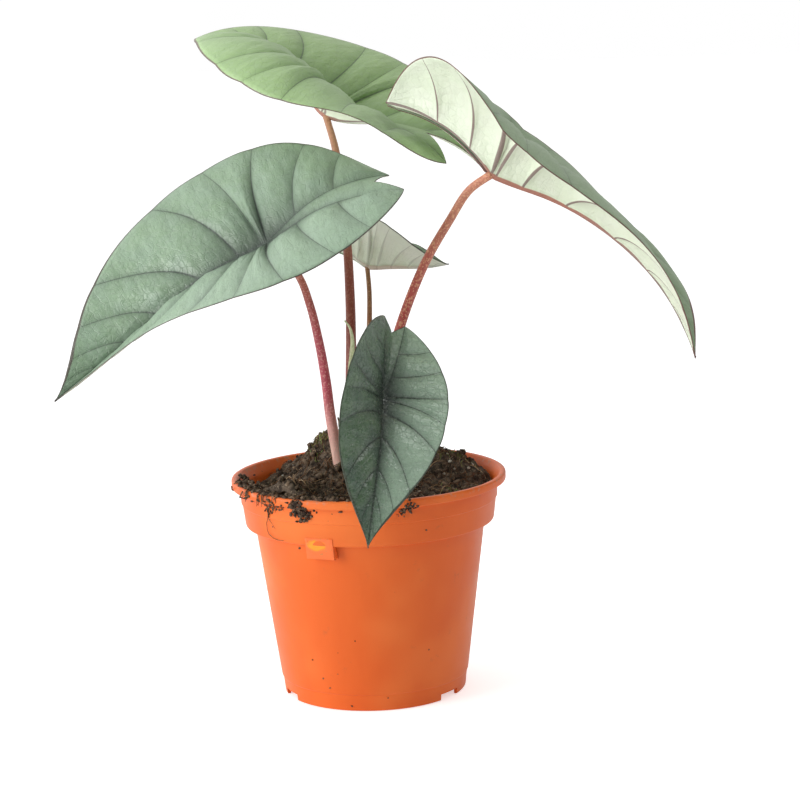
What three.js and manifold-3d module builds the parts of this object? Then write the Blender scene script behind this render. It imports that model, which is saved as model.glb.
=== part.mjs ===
// A young alocasia with five shield-shaped leaves and one new shoot, in a moulded nursery pot.
// Millimetres, +Z up, +Y away from the front. The origin is the centre of the pot's underside.
import * as THREE from "three";
import { mergeVertices } from "three/addons/utils/BufferGeometryUtils.js";
import Module from "manifold-3d";

// Pot: a 12 cm nursery pot
const RIM_RADIUS = 60;
const POT_HEIGHT = 96;
const FOOT_RADIUS = 40;
const WALL = 1.4;
const LIP_HEIGHT = 3.6;
const LIP_WIDTH = 2.3;
const COLLAR_TOP_RADIUS = 56.4;
const COLLAR_STEP_HEIGHT = 85;
const COLLAR_STEP = 0.5;
const COLLAR_BOTTOM_RADIUS = 54.4;
const COLLAR_BOTTOM_HEIGHT = 75.4;
const BODY_TOP_RADIUS = 50.4;
const FLOOR_UNDERSIDE = 3.4;
const HUB_RADIUS = 9;
const DRAIN_HOLES = 8;
const DRAIN_RADIUS = 4.5;
const DRAIN_CIRCLE = 24;
const FOOT_NOTCHES = 3;
const FOOT_NOTCH_WIDTH = 12;
const FOOT_NOTCH_HEIGHT = 2.8;
const FIRST_NOTCH_AZIMUTH = -37;
const POT_SEGMENTS = 48;

// Label pocket on the collar's lower band, towards the front left
const POCKET_AZIMUTH = -113.5;
const POCKET_WIDTH = 12.6;
const POCKET_BOTTOM_HEIGHT = 69.6;
const POCKET_TOP_HEIGHT = 79;
const POCKET_PROUD = 0.3;
const POCKET_WINDOW_WIDTH = 9.5;
const POCKET_WINDOW_HEIGHT = 4.4;
const POCKET_WINDOW_DEPTH = 0.3;

// Soil
const SOIL_LEVEL = 89;
const SOIL_RINGS = 8;
const HOLE_GAP = 0.3;

// Leaves: thickness of the blade, height of the ribs below it, quilting between the side veins
const BLADE = 0.7;
const MIDRIB = 1.5;
const SIDE_RIB = 0.5;
const PUFF = 0.024;
const PUFF_RISE = 0.25;
const SCALLOP = 0.014;
const FRONT_FULLNESS = 2.2;
const FRONT_TAPER = 1.4;
const COSTA_CURVE = 0.85;
const DIMPLE_SPREAD = 0.2;

// Side veins, from the end of a hind lobe round to the tip: where each leaves the rib, and where it
// meets the margin, as shares of the length ahead of the stalk (positive) or behind it (negative)
const VEINS = [
  [-1, -1],
  [-0.58, -0.72],
  [-0.26, -0.48],
  [0, -0.13],
  [0.02, 0.12],
  [0.12, 0.32],
  [0.29, 0.62],
  [0.5, 0.76],
  [0.66, 0.86],
  [0.8, 0.93],
  [0.91, 0.97],
  [1, 1],
];

// How each leaf grew. place is the point of its smooth surface above the stalk, and front, back and
// width are its size when pressed flat. web is how much blade joins the two hind ribs: 1 is all of it.
// Each angle in degrees is [at the stalk, linear, square] in the share of the way to the tip, with two
// more terms where the part behind the stalk bends otherwise: heading is counter-clockwise from +X,
// pitch is up, roll lifts the left side, fold lifts a half from the midrib, and curl bends it on from
// there to the margin.
const LEAVES = {
  left: {
    place: [-42.5, -20, 204.5],
    front: 112,
    back: 62,
    width: 114,
    lobe: 0.1,
    shoulder: 2,
    hindTaper: 0.8,
    notch: 9,
    web: 1,
    dimple: 6,
    heading: [173, -10, 50],
    pitch: [-31, -32, 30],
    roll: [-35, -10, 15],
    foldLeft: [20, 18, 12],
    foldRight: [3, 40, 0],
    curlLeft: [-10, 36, 0],
    curlRight: [0, -42, 0],
  },
  top: {
    place: [-7.7, 60, 256.6],
    front: 101,
    back: 76,
    width: 114,
    lobe: 0.1,
    shoulder: 2,
    hindTaper: 0.8,
    notch: 26,
    web: 1,
    dimple: 9,
    heading: [140, 1, -17, -32, -63],
    pitch: [29, 8, -52, 65, 74],
    roll: [26, -7, -18, 43, 33],
    foldLeft: [34, -4, -52, 64, -44],
    foldRight: [38, -11, 0, 27, -70],
    curlLeft: [-108, -14, 52, -217, 71],
    curlRight: [-5, 1, -75, -39, 25],
  },
  right: {
    place: [59, -5, 228.5],
    front: 118,
    back: 48,
    width: 112,
    lobe: 0.15,
    shoulder: 2.7,
    hindTaper: 0.97,
    notch: 4,
    web: 0.15,
    dimple: 5,
    heading: [-10, -18, -2, -4, -2],
    pitch: [-28, 6, -56, -63, 28],
    roll: [-50, 20, -4, 61, -39],
    foldLeft: [50, 18, 2, -360, -200],
    foldRight: [10, -18, 14, -43, 47],
    curlLeft: [28, -104, -144, 450, 200],
    curlRight: [-78, 20, 0, 36, 11],
  },
  back: {
    place: [3.5, 35, 184.5],
    front: 38,
    back: 20,
    width: 42,
    lobe: 0.1,
    shoulder: 2,
    hindTaper: 0.8,
    notch: 4,
    web: 1,
    dimple: 2,
    heading: [-23, 0, 0],
    pitch: [-10, 22, -4],
    roll: [-38, 26, 0],
    foldLeft: [55, 6, 0],
    foldRight: [53, -8, 0],
    curlLeft: [0, 0, 0],
    curlRight: [-15, 0, 0],
  },
  front: {
    place: [8.5, -46, 138.5],
    front: 66,
    back: 34,
    width: 56,
    lobe: 0.11,
    shoulder: 2,
    hindTaper: 0.8,
    notch: 5,
    web: 1,
    dimple: 3,
    heading: [257, -14, 4],
    pitch: [-55, -14, -2],
    roll: [-34, 0, 4],
    foldLeft: [4, -8, 0],
    foldRight: [29, -9, -3],
    curlLeft: [-2, -7, 0],
    curlRight: [12, -18, 0],
  },
};

// Leaf stalks: each route runs up from its foot in the soil to just short of its blade, and the last
// stretch to the blade is added from the leaf. Radii at the foot and at the blade.
const STALKS = {
  left: {
    route: [
      [-11, -7, 92], [-13, -9, 106], [-15.5, -10, 123], [-17, -11, 140], [-19.5, -13, 158],
      [-22.5, -15, 173], [-27, -16.5, 186],
    ],
    radii: [2.6, 1.4],
  },
  top: {
    route: [
      [-6, 2, 90], [-7, 3, 106], [-6.5, 4, 130], [-5.6, 6, 155], [-5.4, 10, 172],
      [-6, 19, 196], [-9.3, 42, 232],
    ],
    radii: [2.7, 1.5],
  },
  right: {
    route: [
      [0, -4, 90], [2, -4, 107], [8.5, -4, 135], [16, -4, 161], [27, -4, 187], [38.5, -5, 206],
      [47, -6.5, 218.5],
    ],
    radii: [2.5, 1.7],
  },
  back: {
    route: [
      [-1, 8, 92], [-0.5, 10, 106], [1, 16, 130], [2.6, 24, 157], [3.1, 30, 172],
    ],
    radii: [1.7, 1],
  },
  front: {
    route: [
      [2, -11, 92], [2.5, -13, 106], [3, -19, 121], [3.8, -30, 134],
    ],
    radii: [1.8, 1.2],
  },
};

// The next leaf, rolled in its sheath, with its hooked tip
const SHOOT_ROUTE = [
  [-6, -5.5, 95], [-6.2, -6, 107], [-6.2, -6, 125], [-6, -6, 142], [-5.2, -6.5, 151],
  [-5, -7, 157], [-6, -7, 161.5], [-8, -7.2, 164.5],
];
const SHOOT_RADII = [1.9, 2, 2, 1.9, 1.6, 1.3, 0.9, 0.35];

// A dried scale leaf beside the left stalk
const SCALE_ROUTE = [
  [-8.6, -12.4, 99], [-9.6, -13.2, 107], [-11, -14.2, 117], [-12.2, -14.8, 124],
];
const SCALE_RADII = [1.3, 1.3, 0.9, 0.35];

const wasm = await Module();
wasm.setup();
const radians = THREE.MathUtils.degToRad;

// Solids

function solidOf(geometry) {
  const bare = geometry.clone();
  bare.deleteAttribute("normal");
  bare.deleteAttribute("uv");
  const merged = mergeVertices(bare, 1e-3);
  return new wasm.Manifold(
    new wasm.Mesh({
      numProp: 3,
      vertProperties: merged.attributes.position.array,
      triVerts: new Uint32Array(merged.index.array),
    }),
  );
}

function geometryOf(solid) {
  const mesh = solid.getMesh();
  const geometry = new THREE.BufferGeometry();
  geometry.setAttribute("position", new THREE.BufferAttribute(mesh.vertProperties, 3));
  geometry.setIndex(new THREE.BufferAttribute(mesh.triVerts, 1));
  geometry.computeVertexNormals();
  return geometry;
}

function largestBody(solid) {
  const bodies = solid.decompose();
  return bodies.reduce((a, b) => (b.volume() > a.volume() ? b : a));
}

// A solid of revolution round the Z axis, from [radius, height] points that go round anticlockwise
function turned(profile, segments) {
  const points = profile.map(([radius, height]) => new THREE.Vector2(radius, height));
  return new THREE.LatheGeometry(points, segments).rotateX(Math.PI / 2);
}

// A tapering round stalk along a smooth route, with radii spread evenly from its foot to its end
function stalkGeometry(route, radii, steps, sides) {
  const curve = new THREE.CatmullRomCurve3(route.map((p) => new THREE.Vector3(...p)));
  const frames = curve.computeFrenetFrames(steps, false);
  const profile = [new THREE.Vector2(0, 0)];
  for (let i = 0; i <= steps; i++) {
    const along = (i / steps) * (radii.length - 1);
    const k = Math.min(Math.floor(along), radii.length - 2);
    profile.push(new THREE.Vector2(THREE.MathUtils.lerp(radii[k], radii[k + 1], along - k), i));
  }
  profile.push(new THREE.Vector2(0, steps));
  const geometry = new THREE.LatheGeometry(profile, sides);
  const position = geometry.attributes.position;
  for (let i = 0; i < position.count; i++) {
    const station = Math.round(position.getY(i));
    const point = curve.getPointAt(station / steps);
    point.addScaledVector(frames.binormals[station], position.getX(i));
    point.addScaledVector(frames.normals[station], position.getZ(i));
    position.setXYZ(i, point.x, point.y, point.z);
  }
  return geometry;
}

// Pot

// Half section of the pot. Each point is [radius, height, move out, move up], where the last two say
// which way the point goes when the wall is thickened by gap.
function potProfile(gap) {
  const lipUnder = POT_HEIGHT - LIP_HEIGHT;
  const floorTop = FLOOR_UNDERSIDE + WALL;
  const bodyAtFloor = FOOT_RADIUS + 0.6;
  return [
    [0, 0, 0, -1],
    [HUB_RADIUS, 0, 1, -1],
    [HUB_RADIUS + 1, FLOOR_UNDERSIDE, 1, -1],
    [FOOT_RADIUS - WALL, FLOOR_UNDERSIDE, -1, -1],
    [FOOT_RADIUS - WALL, 0, -1, -1],
    [FOOT_RADIUS, 0, 1, -1],
    [FOOT_RADIUS + 0.8, 7, 1, 0],
    [FOOT_RADIUS + 1.3, 7.6, 1, 0],
    [BODY_TOP_RADIUS, COLLAR_BOTTOM_HEIGHT, 1, -1],
    [COLLAR_BOTTOM_RADIUS - 0.5, COLLAR_BOTTOM_HEIGHT, 1, -1],
    [COLLAR_BOTTOM_RADIUS, COLLAR_BOTTOM_HEIGHT + 0.5, 1, 0],
    [COLLAR_TOP_RADIUS - COLLAR_STEP - 0.3, COLLAR_STEP_HEIGHT, 1, 0],
    [COLLAR_TOP_RADIUS - 0.3, COLLAR_STEP_HEIGHT + 0.4, 1, 0],
    [COLLAR_TOP_RADIUS, lipUnder, 1, -1],
    [RIM_RADIUS - 0.6, lipUnder, 1, -1],
    [RIM_RADIUS, lipUnder + 0.6, 1, 0],
    [RIM_RADIUS, POT_HEIGHT - 0.8, 1, 0],
    [RIM_RADIUS - 0.8, POT_HEIGHT, 1, 1],
    [RIM_RADIUS - LIP_WIDTH + 0.4, POT_HEIGHT, -1, 1],
    [RIM_RADIUS - LIP_WIDTH, POT_HEIGHT - 0.4, -1, 0],
    [COLLAR_TOP_RADIUS - WALL, lipUnder - 1, -1, 0],
    [COLLAR_BOTTOM_RADIUS - WALL, COLLAR_BOTTOM_HEIGHT + WALL + 0.8, -1, 1],
    [BODY_TOP_RADIUS - WALL, COLLAR_BOTTOM_HEIGHT + WALL - 0.4, -1, 1],
    [bodyAtFloor - WALL, floorTop, -1, 1],
    [HUB_RADIUS + 0.5, floorTop, -1, 1],
    [HUB_RADIUS - 0.5, WALL, -1, 1],
    [0, WALL, 0, 1],
  ].map(([radius, height, out, up]) => [radius + out * gap, height + up * gap]);
}

// The inner face of the pot, from the middle of its floor up to the lip
function insideProfile(gap) {
  return potProfile(gap).slice(19).reverse();
}

function boxSolid(width, depth, height, azimuth, radius, middleHeight) {
  const box = new THREE.BoxGeometry(depth, width, height);
  box.translate(radius, 0, middleHeight);
  box.rotateZ(radians(azimuth));
  return solidOf(box);
}

function potGeometry() {
  let pot = solidOf(turned(potProfile(0), POT_SEGMENTS));
  const pocketHeight = POCKET_TOP_HEIGHT - POCKET_BOTTOM_HEIGHT;
  const pocketMiddle = POCKET_BOTTOM_HEIGHT + pocketHeight / 2;
  const pocketFace = COLLAR_BOTTOM_RADIUS + POCKET_PROUD;
  const pocketDepth = pocketFace - BODY_TOP_RADIUS + WALL / 2;
  const pocket = boxSolid(
    POCKET_WIDTH, pocketDepth, pocketHeight, POCKET_AZIMUTH, pocketFace - pocketDepth / 2, pocketMiddle,
  );
  const windowDepth = 2 * POCKET_WINDOW_DEPTH;
  const pocketWindow = boxSolid(
    POCKET_WINDOW_WIDTH, windowDepth, POCKET_WINDOW_HEIGHT, POCKET_AZIMUTH, pocketFace, pocketMiddle,
  );
  const hollow = [...insideProfile(0), [0, POT_HEIGHT - 0.4]];
  pot = pot.add(pocket.subtract(solidOf(turned(hollow, POT_SEGMENTS)))).subtract(pocketWindow);
  for (let i = 0; i < FOOT_NOTCHES; i++) {
    const azimuth = FIRST_NOTCH_AZIMUTH + (360 / FOOT_NOTCHES) * i;
    pot = pot.subtract(boxSolid(FOOT_NOTCH_WIDTH, 8, 2 * FOOT_NOTCH_HEIGHT, azimuth, FOOT_RADIUS - 1, 0));
  }
  for (let i = 0; i < DRAIN_HOLES; i++) {
    const hole = new THREE.CylinderGeometry(DRAIN_RADIUS, DRAIN_RADIUS, 10, 16);
    hole.rotateX(Math.PI / 2);
    hole.translate(DRAIN_CIRCLE, 0, FLOOR_UNDERSIDE);
    hole.rotateZ(((i + 0.5) / DRAIN_HOLES) * 2 * Math.PI);
    pot = pot.subtract(solidOf(hole));
  }
  return geometryOf(pot);
}

// Leaves

function bend([start, linear, square, hindLinear = linear, hindSquare = square], u) {
  if (u < 0) return start + hindLinear * u + hindSquare * u * u;
  return start + linear * u + square * u * u;
}

// The mean of an angle from the stalk to u
function meanBend(angle, u) {
  const [start, linear, square, hindLinear = linear, hindSquare = square] = angle;
  if (u < 0) return start + (hindLinear * u) / 2 + (hindSquare * u * u) / 3;
  return start + (linear * u) / 2 + (square * u * u) / 3;
}

function direction(pitch, heading) {
  const p = radians(pitch);
  const h = radians(heading);
  return new THREE.Vector3(Math.cos(p) * Math.cos(h), Math.cos(p) * Math.sin(h), Math.sin(p));
}

// Half the flat leaf's width at x, and the distance from the midline to the hind rib there
function halfWidth(leaf, x) {
  const half = leaf.width / 2;
  if (x >= 0) return half * (1 - Math.min(x / leaf.front, 1) ** FRONT_FULLNESS) ** FRONT_TAPER;
  const lobe = leaf.lobe * leaf.width;
  return lobe + (half - lobe) * (1 - Math.min(-x / leaf.back, 1) ** leaf.shoulder) ** leaf.hindTaper;
}

function costa(leaf, x) {
  return leaf.lobe * leaf.width * Math.min(Math.max(-x / leaf.back, 0), 1) ** COSTA_CURVE;
}

// The leaf bent to its place in the air: x is ahead of the stalk and y to the leaf's left on the flat
// leaf, and lift is the height over the smooth surface
function leafPoint(leaf, x, y, lift) {
  const u = x / leaf.front;
  const along = direction(bend(leaf.pitch, u), bend(leaf.heading, u));
  const level = direction(0, bend(leaf.heading, u) + 90);
  const over = along.clone().cross(level);
  const roll = radians(bend(leaf.roll, u));
  const side = level.clone().multiplyScalar(Math.cos(roll)).addScaledVector(over, Math.sin(roll));
  const up = over.multiplyScalar(Math.cos(roll)).addScaledVector(level, -Math.sin(roll));
  const across = (2 * Math.abs(y)) / leaf.width;
  const fold = bend(y >= 0 ? leaf.foldLeft : leaf.foldRight, u);
  const curl = bend(y >= 0 ? leaf.curlLeft : leaf.curlRight, u) * across;
  const rise = radians(fold + curl / 2);
  const slope = radians(fold + curl);
  const dimple = leaf.dimple * Math.exp(-(x * x + y * y) / (DIMPLE_SPREAD * leaf.width) ** 2);
  return new THREE.Vector3(...leaf.place)
    .addScaledVector(direction(meanBend(leaf.pitch, u), meanBend(leaf.heading, u)), x)
    .addScaledVector(side, y * Math.cos(rise) - lift * Math.sign(y) * Math.sin(slope))
    .addScaledVector(up, Math.abs(y) * Math.sin(rise) - dimple + lift * Math.cos(slope));
}

// The flat leaf's point on line s of one half, at share v of the way from the rib to the margin.
// Whole numbers of s are the side veins, and the blade puffs up between them.
function halfLeafPoint(leaf, s, v, side) {
  const k = Math.min(Math.floor(s), VEINS.length - 2);
  const phase = s - k;
  const share = (end) => THREE.MathUtils.lerp(VEINS[k][end], VEINS[k + 1][end], phase);
  const onRib = share(0) * (share(0) < 0 ? leaf.back : leaf.front);
  const onMargin = share(1) * (share(1) < 0 ? leaf.back : leaf.front);
  const sweep = 0.45 * v + 0.55 * v ** 2.5;
  const crest = Math.sin(Math.PI * phase);
  const ribY = costa(leaf, onRib);
  const scallop = SCALLOP * (1 - crest) * Math.sin((Math.PI * s) / (VEINS.length - 1));
  const marginY = halfWidth(leaf, onMargin) * (1 - scallop);
  const room = Math.min(1, (4 * halfWidth(leaf, onMargin)) / leaf.width);
  return {
    x: onRib + (onMargin - onRib) * sweep,
    y: side * (ribY + (marginY - ribY) * v),
    lift: PUFF * leaf.width * room * crest * Math.min(1, v / PUFF_RISE) * (1 - v ** 3),
    rib: v === 0 ? MIDRIB * ribStrength(share(0)) : crest < 0.01 ? SIDE_RIB * (1 - v) : 0,
  };
}

// Between the two hind ribs: line s as above, at share w of the way from the inner edge to the rib
function hindStripPoint(leaf, s, w, side) {
  const k = Math.min(Math.floor(s), VEINS.length - 2);
  const share = THREE.MathUtils.lerp(VEINS[k][0], VEINS[k + 1][0], s - k);
  const onRib = share * leaf.back;
  return {
    x: onRib - leaf.notch * (1 - w) * share,
    y: side * costa(leaf, onRib) * (1 - leaf.web * (1 - w)),
    lift: 0.5 * PUFF * leaf.width * Math.min(1, -3 * share) * leaf.web * (1 - w * w),
    rib: w === 1 ? MIDRIB * ribStrength(share) : 0,
  };
}

function ribStrength(share) {
  return share < 0 ? 0.75 + 0.55 * share : 1 - 0.85 * share;
}

// A closed blade. Both faces have the same triangles, so they can't cross where the blade is waved.
function bladeGeometry(leaf, scale, rowsPerVein, columns, above, below) {
  const vertices = [];
  const faces = [];
  const found = new Map();
  function vertex({ x, y, lift, rib }) {
    const key = x.toFixed(3) + "," + (Math.abs(y) < 1e-6 ? 0 : y).toFixed(3);
    if (!found.has(key)) {
      found.set(key, vertices.length);
      vertices.push({ point: leafPoint(leaf, x, y, lift), normal: new THREE.Vector3(), rib: rib * scale });
    }
    return found.get(key);
  }
  function patch(pointAt, lastRow, stations, side) {
    const rows = lastRow * rowsPerVein;
    const at = (i, j) => vertex(pointAt(leaf, i / rowsPerVein, stations[j], side));
    for (let i = 0; i < rows; i++) {
      for (let j = 0; j + 1 < stations.length; j++) {
        const [a, b, c, d] = [at(i, j), at(i + 1, j), at(i + 1, j + 1), at(i, j + 1)];
        for (const [p, q, r] of [[a, b, c], [a, c, d]]) {
          if (p === q || q === r || r === p) continue;
          faces.push(side > 0 ? [p, q, r] : [p, r, q]);
        }
      }
    }
  }
  for (const side of [1, -1]) {
    patch(halfLeafPoint, VEINS.length - 1, columns, side);
    patch(hindStripPoint, 3, [0, 0.5, 1], side);
  }
  const open = new Map();
  for (const [a, b, c] of faces) {
    const pa = vertices[a].point;
    const across = vertices[b].point.clone().sub(pa).cross(vertices[c].point.clone().sub(pa));
    for (const v of [a, b, c]) vertices[v].normal.add(across);
    for (const [p, q] of [[a, b], [b, c], [c, a]]) {
      if (!open.delete(q + "," + p)) open.set(p + "," + q, [p, q]);
    }
  }
  const n = vertices.length;
  const position = new Float32Array(6 * n);
  vertices.forEach(({ point, normal, rib }, i) => {
    normal.normalize();
    point.clone().addScaledVector(normal, above).toArray(position, 3 * i);
    point.clone().addScaledVector(normal, -below - rib).toArray(position, 3 * (n + i));
  });
  const index = [];
  for (const [a, b, c] of faces) index.push(a, b, c, n + c, n + b, n + a);
  for (const [a, b] of open.values()) index.push(b, a, n + a, b, n + a, n + b);
  const geometry = new THREE.BufferGeometry();
  geometry.setAttribute("position", new THREE.BufferAttribute(position, 3));
  geometry.setIndex(index);
  geometry.computeVertexNormals();
  return geometry;
}

// Stations from the rib to the margin, and the widest leaf that makes do with the few ones
const LARGE_COLUMNS = [0, 0.06, 0.25, 0.45, 0.65, 0.85, 1];
const SMALL_COLUMNS = [0, 0.08, 0.35, 0.7, 1];
const SMALL_LEAF = 50;
const FULL_WIDTH = 114;
const STALK_STEPS = 22;
const STALK_SIDES = 10;

function leafBlade(leaf, above, below) {
  const small = leaf.width < SMALL_LEAF;
  const scale = Math.sqrt(leaf.width / FULL_WIDTH);
  return bladeGeometry(leaf, scale, small ? 1 : 2, small ? SMALL_COLUMNS : LARGE_COLUMNS, above, below);
}

// A stalk runs on into its blade, and is cut back to a fine gap under it, as if the web were whole
function stalkRoute(name) {
  const leaf = LEAVES[name];
  return [...STALKS[name].route, leafPoint(leaf, 0, 0, 0).toArray()];
}

function stalkSolid(name) {
  const { radii } = STALKS[name];
  const whole = solidOf(stalkGeometry(stalkRoute(name), radii, STALK_STEPS, STALK_SIDES));
  const fullWeb = { ...LEAVES[name], web: 1 };
  const cleared = whole.subtract(solidOf(leafBlade(fullWeb, 1.5, BLADE + HOLE_GAP)));
  return largestBody(cleared);
}

// Soil

// A repeatable draw from 0 to 1
function seededDraw(seed) {
  let state = seed;
  return () => {
    state = (state * 1664525 + 1013904223) % 4294967296;
    return state / 4294967296;
  };
}

// Heaps of the soil's surface: [x, y, height, spread]
const HEAPS = [
  [-17, 6, 20, 15],
  [38, 12, 8, 14],
  [0, -8, 12, 22],
  [-30, -32, 8, 12],
  [20, 30, 6, 20],
  [-22, 34, 9, 15],
  [-42, 14, -4, 10],
  [34, 34, 5, 14],
];

function soilHeight(x, y) {
  let height = SOIL_LEVEL;
  for (const [hx, hy, rise, spread] of HEAPS) {
    height += rise * Math.exp(-((x - hx) ** 2 + (y - hy) ** 2) / spread ** 2);
  }
  return height + 0.8 * Math.sin(x * 0.55 + 1) * Math.cos(y * 0.6) + 0.5 * Math.sin(x * 1.1 - y * 0.9);
}

// Lumps that stand on the soil by rule, and the ones spilled over the lip at the front left
const LUMPS = 38;
const LUMP_REACH = 50;
const LUMP_FLATNESS = 0.75;
const SPILL_AZIMUTHS = [-140, -132, -124, -117, -109];
const SPILL_LUMPS = [
  { radius: 48, height: 89.5, size: 5 },
  { radius: 52, height: 93, size: 4.4 },
  { radius: 55.5, height: 96.3, size: 3.4 },
  { radius: 58.3, height: 97.3, size: 2.6 },
];

function soilGeometry(stalkHoles) {
  const outer = insideProfile(HOLE_GAP + 0.1).filter(([, height]) => height < SOIL_LEVEL);
  const edge = COLLAR_TOP_RADIUS - WALL - HOLE_GAP - 1;
  const profile = [...outer, [edge, SOIL_LEVEL]];
  for (let i = SOIL_RINGS - 1; i >= 0; i--) profile.push([(edge * i) / SOIL_RINGS, SOIL_LEVEL]);
  const body = turned(profile, POT_SEGMENTS);
  const position = body.attributes.position;
  for (let i = 0; i < position.count; i++) {
    if (position.getZ(i) < SOIL_LEVEL - 0.01) continue;
    position.setZ(i, soilHeight(position.getX(i), position.getY(i)));
  }
  let soil = solidOf(body);
  const draw = seededDraw(7);
  const lump = (x, y, z, radius) => {
    const stone = new THREE.IcosahedronGeometry(radius, 0);
    stone.rotateX(draw() * 3);
    stone.rotateZ(draw() * 3);
    stone.scale(1, 1, LUMP_FLATNESS);
    stone.translate(x, y, z);
    soil = soil.add(solidOf(stone));
  };
  for (let i = 0; i < LUMPS; i++) {
    const radius = LUMP_REACH * Math.sqrt(draw());
    const azimuth = 2 * Math.PI * draw();
    const x = radius * Math.cos(azimuth);
    const y = radius * Math.sin(azimuth);
    lump(x, y, soilHeight(x, y), 2 + 2 * draw());
  }
  for (const azimuth of SPILL_AZIMUTHS) {
    for (const { radius, height, size } of SPILL_LUMPS) {
      const a = radians(azimuth + 3 * draw());
      lump(radius * Math.cos(a), radius * Math.sin(a), height + draw(), size);
    }
  }
  soil = soil.subtract(solidOf(turned(potProfile(HOLE_GAP), POT_SEGMENTS)));
  for (const hole of stalkHoles) soil = soil.subtract(hole);
  return geometryOf(largestBody(soil));
}

// Assembly

const finish = (color, roughness) =>
  new THREE.MeshStandardMaterial({ color, roughness, metalness: 0 });
const FINISHES = {
  pot: finish("#c8622f", 0.5),
  soil: finish("#3b2a1e", 1),
  leaf: {
    left: finish("#86a58c", 0.5),
    top: finish("#9dbf8e", 0.5),
    right: finish("#c9d6bf", 0.5),
    back: finish("#b5c1ac", 0.5),
    front: finish("#4f6b55", 0.4),
  },
  stalk: {
    left: finish("#a8505a", 0.55),
    top: finish("#8a4038", 0.55),
    right: finish("#b2544a", 0.55),
    back: finish("#8b5f4c", 0.55),
    front: finish("#9c5248", 0.55),
  },
  shoot: finish("#c5d3a4", 0.5),
  scale: finish("#4a3423", 0.9),
};

const plant = new THREE.Group();

function add(name, geometry, material) {
  const mesh = new THREE.Mesh(geometry, material);
  mesh.name = name;
  plant.add(mesh);
}

add("pot", potGeometry(), FINISHES.pot);

const holes = [];
for (const name of Object.keys(LEAVES)) {
  add("leaf_" + name, leafBlade(LEAVES[name], 0, BLADE), FINISHES.leaf[name]);
  add("petiole_" + name, geometryOf(stalkSolid(name)), FINISHES.stalk[name]);
  const wide = STALKS[name].radii.map((radius) => radius + HOLE_GAP);
  const [foot, ...rest] = stalkRoute(name);
  const deeper = [foot[0], foot[1], foot[2] - HOLE_GAP];
  holes.push(solidOf(stalkGeometry([deeper, ...rest], wide, STALK_STEPS, STALK_SIDES)));
}
for (const [name, route, radii, material] of [
  ["new_shoot", SHOOT_ROUTE, SHOOT_RADII, FINISHES.shoot],
  ["dry_sheath", SCALE_ROUTE, SCALE_RADII, FINISHES.scale],
]) {
  add(name, stalkGeometry(route, radii, 16, 8), material);
  const [foot, ...rest] = route;
  const deeper = [foot[0], foot[1], foot[2] - HOLE_GAP];
  holes.push(solidOf(stalkGeometry([deeper, ...rest], radii.map((radius) => radius + HOLE_GAP), 16, 8)));
}
add("potting_soil", soilGeometry(holes), FINISHES.soil);

export default plant;
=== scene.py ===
from math import cos, degrees, exp, hypot, pi, radians, sin, sqrt
from random import Random
import bmesh
import bpy
from mathutils import Matrix, Vector, noise


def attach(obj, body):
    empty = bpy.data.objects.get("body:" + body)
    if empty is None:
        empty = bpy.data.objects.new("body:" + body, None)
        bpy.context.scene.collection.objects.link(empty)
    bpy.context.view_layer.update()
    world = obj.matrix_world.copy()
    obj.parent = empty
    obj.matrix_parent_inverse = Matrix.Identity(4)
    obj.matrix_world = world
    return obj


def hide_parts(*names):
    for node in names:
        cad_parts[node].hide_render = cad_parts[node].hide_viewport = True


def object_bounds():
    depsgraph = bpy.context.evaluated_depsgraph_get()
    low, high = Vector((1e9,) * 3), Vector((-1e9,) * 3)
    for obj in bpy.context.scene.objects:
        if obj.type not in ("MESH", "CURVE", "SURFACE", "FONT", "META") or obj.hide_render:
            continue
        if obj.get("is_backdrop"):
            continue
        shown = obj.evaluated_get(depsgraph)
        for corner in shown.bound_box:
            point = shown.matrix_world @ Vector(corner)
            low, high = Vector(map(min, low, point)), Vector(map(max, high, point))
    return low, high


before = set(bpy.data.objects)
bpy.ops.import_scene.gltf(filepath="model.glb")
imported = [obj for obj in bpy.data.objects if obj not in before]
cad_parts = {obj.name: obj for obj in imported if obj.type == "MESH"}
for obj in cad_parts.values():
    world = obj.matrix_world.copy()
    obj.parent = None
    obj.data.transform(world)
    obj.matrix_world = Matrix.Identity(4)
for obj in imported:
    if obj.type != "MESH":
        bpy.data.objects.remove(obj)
cad_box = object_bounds()

# Camera
# A long lens about a metre from the pot, a little above the leaves and looking slightly down. Place
# in metres, angles in radians.
PLACE = (0.0013, -1.0, 0.302)
SENSOR_WIDTH = 36
FOCAL_LENGTH = 104.85
pitch, yaw, tilt = 0.1725, 0.0135, -0.0322
forward = Vector((sin(yaw) * cos(pitch), cos(yaw) * cos(pitch), -sin(pitch)))
level = Vector((cos(yaw), -sin(yaw), 0))
above = level.cross(forward)
right = cos(tilt) * level + sin(tilt) * above
above = cos(tilt) * above - sin(tilt) * level
camera = bpy.data.objects.new("camera", bpy.data.cameras.new("camera"))
bpy.context.scene.collection.objects.link(camera)
turn = Matrix((right, above, -forward)).transposed().to_4x4()
camera.matrix_world = Matrix.Translation(PLACE) @ turn
camera.data.sensor_width = SENSOR_WIDTH
camera.data.lens = FOCAL_LENGTH
camera.data.clip_end = 20
bpy.context.scene.camera = camera


# Studio
# A white room that is brighter on the left and behind, one large soft lamp at the left, a small one
# high on the right and a white floor, so that the pot and the leaves darken towards the right.
BRIGHT_SIDE = (-0.52, 0.42, 0.1)
ROOM_LIGHT = 0.55
FLOOR_REACH = 9
FLOOR_GAP = 0.0002


def srgb(code):
    channels = [int(code[i:i + 2], 16) / 255 for i in (1, 3, 5)]
    return (*[c / 12.92 if c < 0.04 else ((c + 0.055) / 1.055) ** 2.4 for c in channels], 1)


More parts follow.
